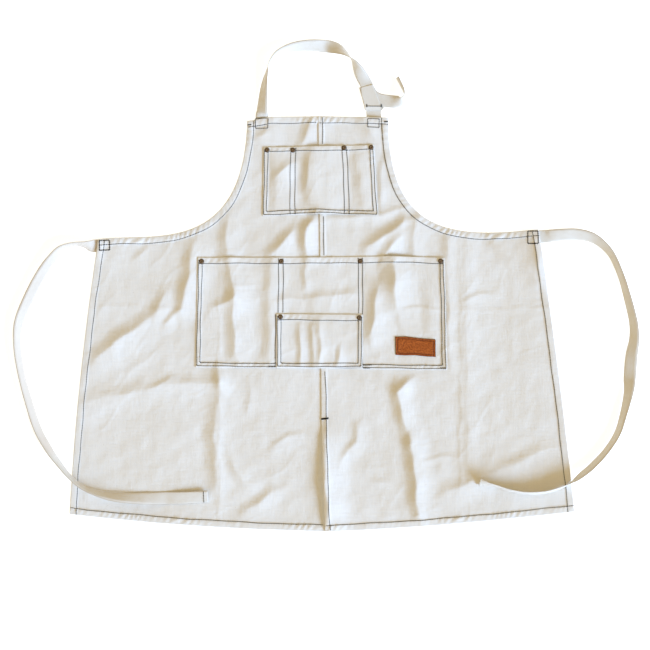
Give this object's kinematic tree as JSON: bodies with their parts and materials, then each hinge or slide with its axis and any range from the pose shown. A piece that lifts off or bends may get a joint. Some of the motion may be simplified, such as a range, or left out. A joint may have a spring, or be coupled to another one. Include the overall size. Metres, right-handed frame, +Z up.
{
  "type": "work apron",
  "caption": "Canvas bib work apron lying flat, front up, with a lapped centre seam and slit, riveted patch pockets, a neck strap through a loop, and tape waist ties.",
  "frame": {"origin": "on the surface that the apron lies on, below the middle of the box round the body and the neck strap", "axes": "+Z up from the surface through the apron's front, +Y from the hem to the neck, +X across to the right of the front view"},
  "size_m": [1.2461, 0.9828, 0.0312],
  "materials": {
    "canvas": "unbleached cotton canvas, matt, with a fine plain weave and pale seed flecks",
    "tape": "unbleached cotton herringbone tape, matt",
    "thread": "charcoal sewing thread",
    "leather": "vegetable tanned leather, orange brown, smooth with a fine grain",
    "rivet": "antiqued dark bronze, worn brighter on the crown"
  },
  "bodies": {
    "root": {"left_panel": "canvas", "right_panel": "canvas", "bib_pocket": "canvas", "lower_pocket": "canvas", "centre_pocket": "canvas", "leather_patch": "leather", "neck_strap": "tape", "neck_loop": "tape", "left_tie": "tape", "right_tie": "tape", "bib_rivet_1": "rivet", "bib_rivet_2": "rivet", "bib_rivet_3": "rivet", "bib_rivet_4": "rivet", "pocket_rivet_1": "rivet", "pocket_rivet_2": "rivet", "pocket_rivet_3": "rivet", "pocket_rivet_4": "rivet", "centre_rivet_1": "rivet", "centre_rivet_2": "rivet"}
  },
  "joints": []
}
